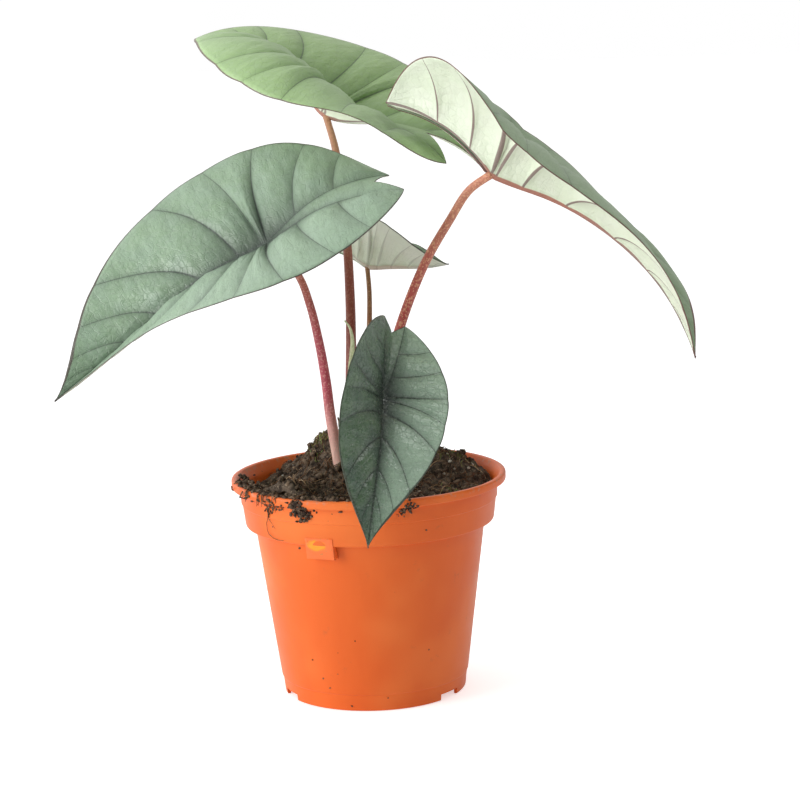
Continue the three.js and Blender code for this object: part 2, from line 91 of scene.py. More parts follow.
def node(tree, kind, inputs=(), **settings):
    made = tree.nodes.new("ShaderNode" + kind)
    for key, value in settings.items():
        setattr(made, key, value)
    for key, value in dict(inputs).items():
        if isinstance(value, bpy.types.NodeSocket):
            tree.links.new(value, made.inputs[key])
        else:
            made.inputs[key].default_value = value
    return made


def maths(tree, operation, a, b=0.0):
    return node(tree, "Math", {0: a, 1: b}, operation=operation).outputs[0]


def finish(name, roughness, **sockets):
    material = bpy.data.materials.new(name)
    material.use_nodes = True
    shader = material.node_tree.nodes["Principled BSDF"]
    shader.inputs["Roughness"].default_value = roughness
    for key, value in sockets.items():
        shader.inputs[key.replace("_", " ")].default_value = value
    return material, material.node_tree, shader


bpy.context.scene.view_settings.view_transform = "Standard"
world = bpy.data.worlds.new("studio")
bpy.context.scene.world = world
world.use_nodes = True
tree = world.node_tree
facing = node(tree, "TexCoord").outputs["Generated"]
lean = node(tree, "VectorMath", {0: facing, 1: BRIGHT_SIDE}, operation="DOT_PRODUCT").outputs["Value"]
seen = node(tree, "LightPath").outputs["Is Camera Ray"]
shade = maths(tree, "MAXIMUM", maths(tree, "ADD", lean, ROOM_LIGHT), seen)
tree.links.new(shade, tree.nodes["Background"].inputs["Strength"])
tree.nodes["Background"].inputs["Color"].default_value = (1, 1, 1, 1)

for name, place, size, power in [
    ("key", (-1.3, -0.6, 0.5), 0.9, 15),
    ("top", (0.95, -0.45, 1.05), 0.5, 3.6),
]:
    lamp = bpy.data.lights.new(name, "AREA")
    lamp.size = size
    lamp.energy = power
    lamp_object = bpy.data.objects.new(name, lamp)
    bpy.context.scene.collection.objects.link(lamp_object)
    lamp_object.location = place
    aim = Vector((0, 0, 0.15)) - Vector(place)
    lamp_object.rotation_euler = aim.to_track_quat("-Z", "Y").to_euler()

bm = bmesh.new()
bmesh.ops.create_grid(bm, x_segments=1, y_segments=1, size=FLOOR_REACH)
bmesh.ops.translate(bm, vec=(0, 0, -FLOOR_GAP), verts=bm.verts)
mesh = bpy.data.meshes.new("floor")
bm.to_mesh(mesh)
bm.free()
floor = bpy.data.objects.new("floor", mesh)
bpy.context.scene.collection.objects.link(floor)
white, tree, shader = finish("floor_white", 0.8)
seen = node(tree, "LightPath").outputs["Is Camera Ray"]
glow = maths(tree, "ADD", maths(tree, "MULTIPLY", seen, 0.35), 0.2)
tree.links.new(glow, shader.inputs["Emission Strength"])
shader.inputs["Base Color"].default_value = (0.88, 0.88, 0.88, 1)
shader.inputs["Emission Color"].default_value = (1, 1, 1, 1)
mesh.materials.append(white)
floor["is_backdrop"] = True


# Pot
# A 12 cm nursery pot, injection moulded in orange-brown polypropylene: a thick lip, a stepped collar,
# a tapered wall and a foot ring with three notches. Everything is modelled in millimetres.
FOOT_NOTCHES = 3
FIRST_NOTCH = -37
DRAIN_HOLES = 8
DRAIN_CIRCLE = 24
DRAIN_RADIUS = 4.5
FLOOR_HEIGHT = 3.4


def mask(tree, value, low, high):
    ends = {0: value, 1: low, 2: high}
    return node(tree, "MapRange", ends, interpolation_type="SMOOTHSTEP").outputs[0]


def tint(tree, factor, a, b, blend="MIX"):
    return node(tree, "Mix", {0: factor, 6: a, 7: b}, data_type="RGBA", blend_type=blend).outputs[2]


def cloud(tree, where, scale, detail=3, roughness=0.5):
    inputs = {"Vector": where, "Scale": scale, "Detail": detail, "Roughness": roughness}
    return node(tree, "TexNoise", inputs).outputs["Fac"]


def relief(tree, shader, height, strength, depth):
    bump = node(tree, "Bump", {"Strength": strength, "Distance": depth, "Height": height})
    tree.links.new(bump.outputs["Normal"], shader.inputs["Normal"])


def mesh_of(name, bm, material):
    bmesh.ops.scale(bm, vec=(0.001, 0.001, 0.001), verts=bm.verts)
    mesh = bpy.data.meshes.new(name)
    bm.to_mesh(mesh)
    bm.free()
    mesh.materials.append(material)
    mesh.shade_smooth()
    made = bpy.data.objects.new(name, mesh)
    bpy.context.scene.collection.objects.link(made)
    return made


def rounded(corners):
    points = []
    for i, (radius, height, soft) in enumerate(corners):
        here = Vector((radius, 0, height))
        if soft == 0:
            points.append(here)
            continue
        before, after = (Vector((corners[j][0], 0, corners[j][1])) for j in (i - 1, i + 1))
        start = here + (before - here).normalized() * soft
        end = here + (after - here).normalized() * soft
        for t in (0, 0.25, 0.5, 0.75, 1):
            points.append(start.lerp(here, t).lerp(here.lerp(end, t), t))
    return points


section = rounded([
    (0, 0, 0), (9, 0, 0.5), (10, 3.4, 0.5), (38.6, 3.4, 0.5), (38.6, 0, 0.4), (40, 0, 0.5),
    (40.8, 7, 0.2), (41.3, 7.6, 0.25), (50.4, 75.4, 0.4), (54.4, 75.4, 0.7), (55.6, 85, 0.15),
    (56.1, 85.4, 0.2), (56.4, 92.4, 0.5), (60, 92.4, 0.7), (60, 96, 1), (57.7, 96, 0.8),
    (55, 91.4, 1.2), (53, 77.6, 0.5), (49, 76.4, 0.5), (39.2, 4.8, 0.5), (9.5, 4.8, 0.5),
    (8.5, 1.4, 0.4), (0, 1.4, 0),
])
bm = bmesh.new()
ring = [bm.verts.new(point) for point in section]
sides = [bm.edges.new(pair) for pair in zip(ring, ring[1:])]
bmesh.ops.spin(
    bm, geom=ring + sides, axis=(0, 0, 1), cent=(0, 0, 0), dvec=(0, 0, 0), angle=2 * pi, steps=144,
    use_merge=True, use_duplicate=False,
)
bmesh.ops.remove_doubles(bm, verts=bm.verts, dist=0.002)
bmesh.ops.recalc_face_normals(bm, faces=bm.faces)

plastic, tree, shader = finish("pot_orange", 0.36, Specular_IOR_Level=0.25)
where = node(tree, "TexCoord").outputs["Object"]
high = node(tree, "SeparateXYZ", {0: where}).outputs["Z"]
stretched = node(tree, "Mapping", {"Vector": where, "Scale": (1, 1, 0.12)}).outputs["Vector"]
colour = tint(tree, cloud(tree, stretched, 60, 4), srgb("#da5e20"), srgb("#e86c29"))
colour = tint(tree, mask(tree, cloud(tree, where, 22, 2), 0.45, 0.75), colour, srgb("#ec7836"))
on_lip = mask(tree, high, 0.0935, 0.0952)
scuffs = maths(tree, "MULTIPLY", on_lip, mask(tree, cloud(tree, where, 400, 5), 0.5, 0.7))
colour = tint(tree, scuffs, colour, srgb("#cf8566"))
dusty = mask(tree, cloud(tree, where, 120, 6, 0.7), 0.6, 0.74)
colour = tint(tree, maths(tree, "MULTIPLY", dusty, 0.3), colour, srgb("#9a5a3a"))
cells = node(tree, "TexVoronoi", {"Vector": where, "Scale": 150}).outputs["Distance"]
specks = mask(tree, cells, 0.075, 0.05)
few = mask(tree, cloud(tree, where, 35, 2), 0.56, 0.6)
colour = tint(tree, maths(tree, "MULTIPLY", specks, few), colour, srgb("#6b3d28"))
tree.links.new(colour, shader.inputs["Base Color"])
rough = node(tree, "MapRange", {0: cloud(tree, where, 90, 4), 3: 0.28, 4: 0.5}).outputs[0]
tree.links.new(maths(tree, "ADD", rough, maths(tree, "MULTIPLY", scuffs, 0.25)), shader.inputs["Roughness"])
relief(tree, shader, cloud(tree, where, 500, 4), 0.12, 0.0002)

pot = mesh_of("nursery_pot", bm, plastic)

bm = bmesh.new()
for i in range(FOOT_NOTCHES):
    spot = Matrix.Rotation(radians(FIRST_NOTCH + 120 * i), 4, "Z") @ Matrix.Translation((39, 0, 0))
    bmesh.ops.create_cube(bm, size=1, matrix=spot @ Matrix.Diagonal((8, 12, 5.6, 1)))
for i in range(DRAIN_HOLES):
    turned = Matrix.Rotation((i + 0.5) / DRAIN_HOLES * 2 * pi, 4, "Z")
    spot = turned @ Matrix.Translation((DRAIN_CIRCLE, 0, FLOOR_HEIGHT))
    bmesh.ops.create_cone(
        bm, cap_ends=True, segments=32, radius1=DRAIN_RADIUS, radius2=DRAIN_RADIUS, depth=10, matrix=spot,
    )
cutter = mesh_of("cutter", bm, plastic)
cut = pot.modifiers.new("cut", "BOOLEAN")
cut.object = cutter
cut.operation = "DIFFERENCE"
cut.solver = "EXACT"
pot.data = bpy.data.meshes.new_from_object(pot.evaluated_get(bpy.context.evaluated_depsgraph_get()))
pot.modifiers.clear()
bpy.data.objects.remove(cutter)
pot.data.shade_smooth()
pot.data.set_sharp_from_angle(angle=radians(40))
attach(pot, "root")
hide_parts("pot")

# Label pocket
# A small rectangular pocket under the collar at the front left, moulded with the pot and glossier
# than it. It leans back to the wall below and its window is sunk a little. A gleam of light is
# painted in the window as a brighter amber patch in its colour.
POCKET_AZIMUTH = -113.5
POCKET_MIDDLE = (51.9, 0, 74.3)
POCKET_SIZE = (5.7, 12.6, 9.4)
LEAN_BEHIND_COLLAR = 4.7
LEAN_AT_TOP = 0.15
LEAN_AT_BOTTOM = -1.5

bm = bmesh.new()
spot = Matrix.Rotation(radians(POCKET_AZIMUTH), 4, "Z") @ Matrix.Translation(POCKET_MIDDLE)
bmesh.ops.create_cube(bm, size=1, matrix=Matrix.Diagonal((*POCKET_SIZE, 1)))
for vert in bm.verts:
    if vert.co.x < 0 and vert.co.z > 0:
        vert.co.x += LEAN_BEHIND_COLLAR
    if vert.co.x > 0:
        vert.co.x += LEAN_AT_TOP if vert.co.z > 0 else LEAN_AT_BOTTOM
face = max(bm.faces, key=lambda f: f.calc_center_median().x)
bmesh.ops.inset_region(bm, faces=[face], thickness=1.4)
bmesh.ops.scale(bm, vec=(1, 0.97, 0.67), verts=face.verts)
bmesh.ops.translate(bm, vec=(-0.25, 0, 0), verts=face.verts)
bmesh.ops.bevel(bm, geom=bm.edges[:], offset=0.2, affect="EDGES", segments=3, profile=0.5, material=-1)
# The gloss layer marks where the painted gleam lies: it is highest in a patch on the window face.
gloss = bm.verts.layers.float.new("gloss")
bmesh.ops.subdivide_edges(bm, edges=bm.edges[:], cuts=6, use_grid_fill=True)
for vert in bm.verts:
    reach = hypot((vert.co.y + 1.4) / 4.6, (vert.co.z - 1.4) / 2.4)
    vert[gloss] = max(0, 1.6 - reach) if vert.co.x > 0 else 0
bmesh.ops.transform(bm, matrix=spot, verts=bm.verts)
amber, tree, shader = finish("pocket_amber", 0.36, Specular_IOR_Level=0.5)
where = node(tree, "TexCoord").outputs["Object"]
# Painted gleam: the window is coloured brighter amber where the gloss layer is high, and it is glossier
# there too.
gleam_and_gloss = node(tree, "Attribute", attribute_name="gloss").outputs["Fac"]
gleam_and_gloss = maths(tree, "ADD", gleam_and_gloss, maths(tree, "SUBTRACT", cloud(tree, where, 300, 3), 0.5))
gleam_and_gloss = mask(tree, gleam_and_gloss, 0.45, 0.95)
colour = tint(tree, gleam_and_gloss, srgb("#f07030"), srgb("#fb9a1c"))
colour = tint(tree, mask(tree, cloud(tree, where, 700, 4), 0.64, 0.72), colour, srgb("#cc7a3c"))
tree.links.new(colour, shader.inputs["Base Color"])
rough = node(tree, "MapRange", {0: gleam_and_gloss, 3: 0.38, 4: 0.08}).outputs[0]
tree.links.new(rough, shader.inputs["Roughness"])
relief(tree, shader, cloud(tree, where, 260, 2), 0.5, 0.0006)
pocket = mesh_of("label_pocket", bm, amber)
pocket.data.set_sharp_from_angle(angle=radians(40))
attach(pocket, "root")

# Potting soil
# Peat mix with bark crumbs that fills the pot and heaps up round the stems. It touches the wall all
# round, runs up to the lip at the front left, and its surface is rough at every scale.
HEAPS = [
    (-17, 6, 20, 15), (38, 12, 8, 14), (0, -8, 12, 22), (-30, -32, 8, 12), (20, 30, 6, 20),
    (-22, 34, 9, 15), (-42, 14, -4, 10), (34, 34, 5, 14),
]
SOIL_LEVEL = 89
SOIL_EDGE = 53.7
SPILL_BEARING = radians(46)
SPILL_SPREAD = 27
SPILL_HEIGHT = 5.5
TOP_ROWS = 95
AROUND = 210


def soil_height(x, y):
    heaps = sum(h * exp(-((x - a) ** 2 + (y - b) ** 2) / s ** 2) for a, b, h, s in HEAPS)
    return SOIL_LEVEL + heaps + 0.8 * sin(x * 0.55 + 1) * cos(y * 0.6) + 0.5 * sin(x * 1.1 - y * 0.9)


def spill(x, y):
    out = max(0, min(1, (hypot(x, y) - 42) / 10))
    if out == 0:
        return 0
    toward = Vector((sin(SPILL_BEARING), cos(SPILL_BEARING)))
    aside = degrees(toward.angle(Vector((-x, -y))))
    return out * exp(-(aside / SPILL_SPREAD) ** 4)


def crumbly(x, y):
    place = Vector((x, y, 3))
    coarse = noise.fractal(place / 8, 0.9, 2.1, 4)
    fine = noise.fractal(place / 1.7 + Vector((9, 4, 1)), 0.7, 2, 3)
    return soil_height(x, y) + 2.3 * coarse + 0.75 * fine + SPILL_HEIGHT * spill(x, y)


below = [(53.7, 86), (52.6, 78), (48.6, 76.8), (38.8, 5.2), (9.1, 5.2), (8.1, 1.8), (0, 1.8)]
bm = bmesh.new()
bmesh.ops.create_grid(bm, x_segments=TOP_ROWS + len(below), y_segments=AROUND, size=1)
for vert in bm.verts:
    row = round((vert.co.x + 1) / 2 * (TOP_ROWS + len(below)))
    around = (vert.co.y + 1) * pi
    if row > TOP_ROWS:
        radius, height = below[row - TOP_ROWS - 1]
    else:
        radius = SOIL_EDGE * row / TOP_ROWS
        height = None
    x, y = radius * cos(around), radius * sin(around)
    if height is None:
        fade = min(1, (SOIL_EDGE - radius) / 2)
        smooth = soil_height(x, y) + SPILL_HEIGHT * spill(x, y)
        height = crumbly(x, y) * fade + smooth * (1 - fade)
    vert.co = (x, y, height)
bmesh.ops.remove_doubles(bm, verts=bm.verts, dist=0.001)
bmesh.ops.recalc_face_normals(bm, faces=bm.faces)


def soil_finish(name, dark, mid, light):
    material, tree, shader = finish(name, 0.95, Specular_IOR_Level=0.2)
    where = node(tree, "TexCoord").outputs["Object"]
    colour = tint(tree, mask(tree, cloud(tree, where, 260, 6, 0.65), 0.4, 0.6), srgb(dark), srgb(mid))
    colour = tint(tree, mask(tree, cloud(tree, where, 900, 5, 0.7), 0.56, 0.68), colour, srgb(light))
    tree.links.new(colour, shader.inputs["Base Color"])
    relief(tree, shader, cloud(tree, where, 1100, 6, 0.7), 0.8, 0.0008)
    return material


peat = soil_finish("peat", "#352c26", "#685a4d", "#a3917b")
soil = mesh_of("soil_bed", bm, peat)
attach(soil, "root")
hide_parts("potting_soil")

# Crumbs of the soil
# Loose bits of peat and bark lying on the surface, and some that were spilled over the lip at the
# front left and lie on it.
LOOSE_CRUMBS = 1700
SPILLED_CRUMBS = 760
LIP_TOP = 95.2
draw = Random(11)


def crumb(bm, place, size, flat=0.8):
    turn = Matrix.Rotation(draw.uniform(0, 6.3), 4, "X") @ Matrix.Rotation(draw.uniform(0, 6.3), 4, "Z")
    shape = Matrix.Diagonal((size * draw.uniform(0.8, 1.5), size, size * flat, 1))
    lump = bmesh.ops.create_icosphere(bm, subdivisions=1, radius=1)["verts"]
    for vert in lump:
        vert.co *= draw.uniform(0.7, 1.25)
    bmesh.ops.transform(bm, matrix=Matrix.Translation(place) @ turn @ shape, verts=lump)


def on_soil(reach=52):
    radius, around = reach * sqrt(draw.random()), draw.uniform(0, 2 * pi)
    return radius * cos(around), radius * sin(around)


def on_pot(around, height, out=0.0):
    outline = [
        (0, 40), (7.6, 41.3), (75.4, 50.4), (75.5, 54.4), (85, 55.8), (92.3, 56.3), (92.5, 60), (96, 60),
    ]
    for (low, narrow), (high, wide) in zip(outline, outline[1:]):
        if height <= high:
            radius = narrow + (wide - narrow) * (height - low) / (high - low) + out
            return Vector((radius * cos(radians(around)), radius * sin(radians(around)), height))
    on_lip = 58.6
    return Vector((on_lip * cos(radians(around)), on_lip * sin(radians(around)), height))


bm = bmesh.new()
for i in range(LOOSE_CRUMBS):
    x, y = on_soil()
    size = 0.35 + 1.5 * draw.random() ** 4
    crumb(bm, (x, y, crumbly(x, y) + 0.3 * size), size)
for i in range(SPILLED_CRUMBS):
    around, radius = radians(draw.gauss(-136, 17)), draw.uniform(49, 59)
    height = LIP_TOP + draw.uniform(0, 1.6) if radius > 56 else 94 + draw.uniform(0, 2.4)
    crumb(bm, (radius * cos(around), radius * sin(around), height), draw.uniform(0.4, 1.3))
bark = soil_finish("bark_crumbs", "#3a2f28", "#72604f", "#ad957b")
crumbs = mesh_of("soil_crumbs", bm, bark)
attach(crumbs, "root")

# Soil stuck to the pot
# A clump of peat that hangs on the collar, smaller ones beside it and at the right, and dust-like
# specks further down.
bm = bmesh.new()
for around, height, spread, count, size in [
    (-121.5, 92.5, 2, 90, 0.9), (-119.8, 89.6, 1.5, 70, 0.85), (-132.5, 92.5, 1.7, 22, 0.7),
    (-139, 89.2, 1.3, 18, 0.6), (-74, 92, 1.5, 46, 0.7), (-76.5, 90.4, 1, 18, 0.6),
    (-150, 93, 1.5, 14, 0.7),
]:
    for i in range(count):
        up = height + draw.gauss(0, spread)
        along = around + draw.gauss(0, spread * 0.9)
        if up < 92.4:
            place = on_pot(along, min(up, 92.2), draw.uniform(0, 1.4))
        else:
            place = on_pot(along, up, 0.2)
        crumb(bm, place, size * draw.uniform(0.4, 1.1))
for around, height, size in [
    (-114.3, 91.5, 0.6), (-113, 90.6, 0.5), (-102.2, 91, 0.8), (-106.2, 90.1, 0.4), (-65, 80.9, 0.5),
    (-111.3, 72.6, 0.4), (-126.9, 72.8, 0.6), (-100.5, 32.4, 0.4), (-110.9, 26.6, 0.3),
    (-105.1, 2.3, 0.5), (-82.9, 5.8, 0.5), (-112.1, 16.8, 0.3), (-122, 14, 0.4), (-128, 22, 0.4),
    (-118, 10, 0.5), (-124, 86, 0.3), (-108, 87, 0.3), (-95, 89, 0.3), (-148, 90, 0.4),
]:
    crumb(bm, on_pot(around, height, 0.1), size, 0.5)
stuck = mesh_of("stuck_soil", bm, bark)
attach(stuck, "root")


# Roots and fibres
# Fine brown roots and coir fibres that mat the surface, paler ones on top of them, and rootlets that
# hang over the lip with the spilled soil.
BROWN_ROOTS = 560
HANGING_ROOTS = 12
PALE_ROOTS = 95
STRAND_REACH = 52.5


def tube(bm, points, radii, sides=5, along=None):
    rows = len(points) + 1
    grid = bmesh.ops.create_grid(bm, x_segments=rows, y_segments=sides, size=1)["verts"]
    tangent = (points[1] - points[0]).normalized()
    out = tangent.orthogonal().normalized()
    frames = []
    for i, point in enumerate(points):
        ahead = points[min(i + 1, len(points) - 1)] - points[max(i - 1, 0)]
        tangent = ahead.normalized()
        out = (out - tangent * out.dot(tangent)).normalized()
        frames.append((point, out, tangent.cross(out)))
    for vert in grid:
        row = round((vert.co.x + 1) / 2 * rows)
        angle = (vert.co.y + 1) * pi
        i = min(max(row - 1, 0), len(points) - 1)
        radius = 0 if row in (0, rows) else radii[i]
        point, first, second = frames[i]
        if along:
            vert[along] = i / (len(points) - 1)
        vert.co = point + first * (radius * cos(angle)) + second * (radius * sin(angle))


def strand(bm, start, heading, length, radius, rise, wander=0.5):
    points = []
    x, y = start
    for i in range(8):
        t = i / 7
        lift = rise * sin(pi * t) + 0.2
        points.append(Vector((x, y, crumbly(x, y) + lift)))
        heading += draw.gauss(0, wander)
        x += length / 7 * cos(heading)
        y += length / 7 * sin(heading)
        reach = hypot(x, y)
        if reach > STRAND_REACH:
            x, y = x * STRAND_REACH / reach, y * STRAND_REACH / reach
    smooth = [points[0]]
    for a, b, c in zip(points, points[1:], points[2:]):
        smooth.append(a * 0.25 + b * 0.5 + c * 0.25)
    smooth.append(points[-1])
    tube(bm, smooth, [radius * (1 - 0.6 * i / 7) for i in range(8)], 4)


def close(bm, dist=0.0005):
    bmesh.ops.remove_doubles(bm, verts=bm.verts, dist=dist)
    bmesh.ops.recalc_face_normals(bm, faces=bm.faces)


bm = bmesh.new()
for i in range(BROWN_ROOTS):
    start, heading, length = on_soil(51), draw.uniform(0, 6.3), draw.uniform(3, 12)
    strand(bm, start, heading, length, draw.uniform(0.1, 0.26), draw.uniform(0, 2.2))
for i in range(HANGING_ROOTS):
    around = draw.gauss(-136, 9)
    start = on_pot(around, 96.6) - Vector((0, 0, draw.uniform(0, 0.5)))
    outward = Vector((cos(radians(around)), sin(radians(around)), 0))
    aside = Vector((-outward.y, outward.x, 0)) * draw.gauss(0, 1.6)
    hang = [
        start - outward * draw.uniform(3, 7) + Vector((0, 0, draw.uniform(-1, 1.5))),
        start + aside * 0.3 + Vector((0, 0, 0.6)),
        start + outward * 1.9 + aside * 0.7 - Vector((0, 0, 0.6)),
        start + outward * draw.uniform(1.2, 2.4) + aside - Vector((0, 0, draw.uniform(2.5, 5.5))),
    ]
    tube(bm, hang, [0.3, 0.32, 0.26, 0.12], 4)
for path, radius in [
    ([(-141, 94, 1.2), (-139.5, 91, 0.8), (-138.6, 88, 1), (-139.6, 85.5, 0.7)], 0.45),
    ([(-137, 94, 1.2), (-137.5, 91.5, 0.7), (-139.2, 89, 1)], 0.4),
    ([(-134, 94.5, 1), (-134.8, 91, 0.9), (-135.6, 88.3, 1.4)], 0.5),
    ([(-139.6, 85.5, 0.7), (-141.4, 83, 0.6), (-142, 80, 0.5), (-141.5, 78, 0.4)], 0.16),
    ([(-141.5, 78, 0.4), (-138.5, 76.6, 0.5), (-135.5, 76.2, 0.4), (-132, 76.4, 0.4)], 0.14),
    ([(-139.2, 85, 0.7), (-137, 82.5, 0.6), (-136.2, 81, 0.4)], 0.13),
    ([(-152, 95.5, 1), (-155, 92.5, 1), (-158, 90.6, 0.7)], 0.4),
    ([(-166, 95, 1), (-168, 93, 0.5), (-169, 91.5, 0.8)], 0.4),
]:
    points = [on_pot(*spot) for spot in path]
    tube(bm, points, [radius * (1 - 0.4 * i / (len(points) - 1)) for i in range(len(points))], 5)
close(bm)
coir = soil_finish("brown_roots", "#4a3627", "#7c5b41", "#ab8763")
fibres = mesh_of("brown_roots", bm, coir)
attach(fibres, "root")

bm = bmesh.new()
for i in range(PALE_ROOTS):
    start, heading, length = on_soil(50), draw.uniform(0, 6.3), draw.uniform(4, 12)
    strand(bm, start, heading, length, draw.uniform(0.1, 0.2), draw.uniform(0.5, 2.5))
for start, heading, length, radius in [
    ((-37, -26), -62, 12, 0.34), ((-31, -24), -66, 11, 0.34), ((-40, -14), -25, 10, 0.28),
    ((-27, -24), 20, 12, 0.22), ((24, 2), 45, 14, 0.3), ((40, 20), -70, 14, 0.34),
    ((45, 9), -50, 9, 0.3), ((30, -22), 60, 12, 0.26), ((20, -18), 10, 13, 0.26),
]:
    strand(bm, start, radians(heading), length, radius, 1.2, 0.12)
close(bm)
straw = soil_finish("pale_roots", "#92765a", "#bd9f7f", "#dcc8ab")
pale = mesh_of("pale_roots", bm, straw)
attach(pale, "root")

# Perlite
# White grains of expanded volcanic glass that are mixed in the peat to keep it open. Some lie loose
# on the surface, most of them at the right.
PERLITE_GRAINS = 70

bm = bmesh.new()
for i in range(PERLITE_GRAINS):
    x, y = on_soil(50)
    crumb(bm, (x, y, crumbly(x, y) + 0.25), draw.uniform(0.3, 0.75), 0.9)
for x, y in [
    (36, 8), (38, 3), (41, 9), (44, 5), (33, 1), (40, -4), (46, 12), (35, 14), (-39, -24), (-16, -12),
]:
    crumb(bm, (x, y, crumbly(x, y) + 0.35), draw.uniform(0.55, 0.8), 0.9)
chalk, tree, shader = finish("perlite", 0.85)
where = node(tree, "TexCoord").outputs["Object"]
colour = tint(tree, mask(tree, cloud(tree, where, 900, 4), 0.4, 0.65), srgb("#e6e2d8"), srgb("#9f9688"))
tree.links.new(colour, shader.inputs["Base Color"])
relief(tree, shader, cloud(tree, where, 2500, 3), 0.5, 0.0002)
perlite = mesh_of("perlite", bm, chalk)
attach(perlite, "root")

# Moss
# Short tufts of pale green moss on the heap beside the stems and along the right-hand edge.
bm = bmesh.new()
for x, y, spread, count in [
    (-21, 2, 2.2, 70), (-24, 8, 2, 30), (34, 16, 4, 70), (44, 16, 3, 50), (36, -18, 3, 30),
]:
    for i in range(count):
        a, b = x + draw.gauss(0, spread), y + draw.gauss(0, spread)
        if hypot(a, b) > 51:
            continue
        base = Vector((a, b, crumbly(a, b) - 0.2))
        tip = base + Vector((draw.gauss(0, 0.7), draw.gauss(0, 0.7), draw.uniform(0.8, 2.2)))
        tube(bm, [base, base.lerp(tip, 0.6), tip], [0.2, 0.16, 0.05], 3)
close(bm)
green, tree, shader = finish("moss", 0.8)
where = node(tree, "TexCoord").outputs["Object"]
colour = tint(tree, mask(tree, cloud(tree, where, 250, 3), 0.4, 0.6), srgb("#8fa45c"), srgb("#7a6a3c"))
tree.links.new(colour, shader.inputs["Base Color"])
moss = mesh_of("moss_tufts", bm, green)
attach(moss, "root")

# Leaves
# Five living blades, 0.7 mm thick between the ribs, peltate, with two hind lobes. The midrib and the
# side veins are sunk in the silvery upper face and stand out below, and the blade puffs up between
# them. Each is bent to its place in the air from its flat shape.
BLADE = 0.7
MIDRIB = 1.5
SIDE_RIB = 0.5
PUFF = 0.024
VEINS = [
    (-1, -1), (-0.58, -0.72), (-0.26, -0.48), (0, -0.13), (0.02, 0.12), (0.12, 0.32), (0.29, 0.62),
    (0.5, 0.76), (0.66, 0.86), (0.8, 0.93), (0.91, 0.97), (1, 1),
]
VEIN_STRENGTH = [0, 0.55, 0.7, 1, 0.55, 1, 1, 0.8, 0.65, 0.5, 0.4, 0]
FULL_WIDTH = 114
FRONT_FULLNESS = 2.2
FRONT_TAPER = 1.4
COSTA_CURVE = 0.85
DIMPLE_SPREAD = 0.2
SCALLOP = 0.014
ROWS = 14
COLUMNS = 42
STRIP_COLUMNS = 8
FAR_FROM_VEINS = 20
FLAT_UNIT = 100
LEAVES = {
    "left": dict(
        place=(-42.5, -20, 204.5), front=112, back=62, width=114, lobe=0.1, shoulder=2, hind_taper=0.8,
        notch=9, web=1, dimple=6, heading=(173, -10, 50), pitch=(-31, -32, 30), roll=(-35, -10, 15),
        fold=((20, 18, 12), (3, 40, 0)), curl=((-10, 36, 0), (0, -42, 0)),
        upper=("#8fa98e", "#26332a"), vein="#3a473c", under=("#c9d6c2", "#7d7468"), margin="#4f4a40",
        gloss=0.42, veining=1, silver=0.2, painted_sheen=0.3,
    ),
    "top": dict(
        place=(-7.7, 60, 256.6), front=101, back=76, width=114, lobe=0.1, shoulder=2, hind_taper=0.8,
        notch=26, web=1, dimple=9, heading=(140, 1, -17, -32, -63), pitch=(29, 8, -52, 65, 74),
        roll=(26, -7, -18, 43, 33), fold=((34, -4, -52, 64, -44), (38, -11, 0, 27, -70)),
        curl=((-108, -14, 52, -217, 71), (-5, 1, -75, -39, 25)),
        upper=("#a8c984", "#6a914e"), vein="#54614a", under=("#d6dfca", "#8a7d72"), margin="#6f6355",
        gloss=0.48, veining=1, silver=0.2, painted_sheen=0.12,
    ),
    "right": dict(
        place=(59, -5, 228.5), front=118, back=48, width=112, lobe=0.15, shoulder=2.7, hind_taper=0.97,
        notch=4, web=0.15, dimple=5, heading=(-10, -18, -2, -4, -2), pitch=(-28, 6, -56, -63, 28),
        roll=(-50, 20, -4, 61, -39), fold=((50, 18, 2, -360, -200), (10, -18, 14, -43, 47)),
        curl=((28, -104, -144, 450, 200), (-78, 20, 0, 36, 11)),
        upper=("#9db38f", "#4d6646"), vein="#6a7a62", under=("#dbe2cf", "#85756d"), margin="#6d4a41",
        gloss=0.5, veining=1, silver=0.25, painted_sheen=0,
    ),
    "back": dict(
        place=(3.5, 35, 184.5), front=38, back=20, width=42, lobe=0.1, shoulder=2, hind_taper=0.8,
        notch=4, web=1, dimple=2, heading=(-23, 0, 0), pitch=(-10, 22, -4), roll=(-38, 26, 0),
        fold=((55, 6, 0), (53, -8, 0)), curl=((0, 0, 0), (-15, 0, 0)),
        upper=("#8ea88c", "#4d6646"), vein="#56655a", under=("#e3e8da", "#9a9d90"), margin="#55584d",
        gloss=0.5, veining=0.45, silver=0.2, painted_sheen=0,
    ),
    # The front leaf's dark upper colours and its strong painted sheen on one half paint the shaded half and
    # the lit half of its fold.
    "front": dict(
        place=(8.5, -46, 138.5), front=66, back=34, width=56, lobe=0.11, shoulder=2, hind_taper=0.8,
        notch=5, web=1, dimple=3, heading=(257, -14, 4), pitch=(-55, -14, -2), roll=(-34, 0, 4),
        fold=((4, -8, 0), (29, -9, -3)), curl=((-2, -7, 0), (12, -18, 0)),
        upper=("#4c6250", "#12181a"), vein="#2b382c", under=("#a9b8a0", "#6f6a5e"), margin="#37412f",
        gloss=0.32, veining=1, silver=0.1, painted_sheen=0.75,
    ),
}


def bend(angles, u, first=1.0, second=1.0):
    start, linear, square, *hind = angles
    if u < 0 and hind:
        linear, square = hind
    return start + linear * u / first + square * u * u / second


def direction(pitch, heading):
    p, h = radians(pitch), radians(heading)
    return Vector((cos(p) * cos(h), cos(p) * sin(h), sin(p)))


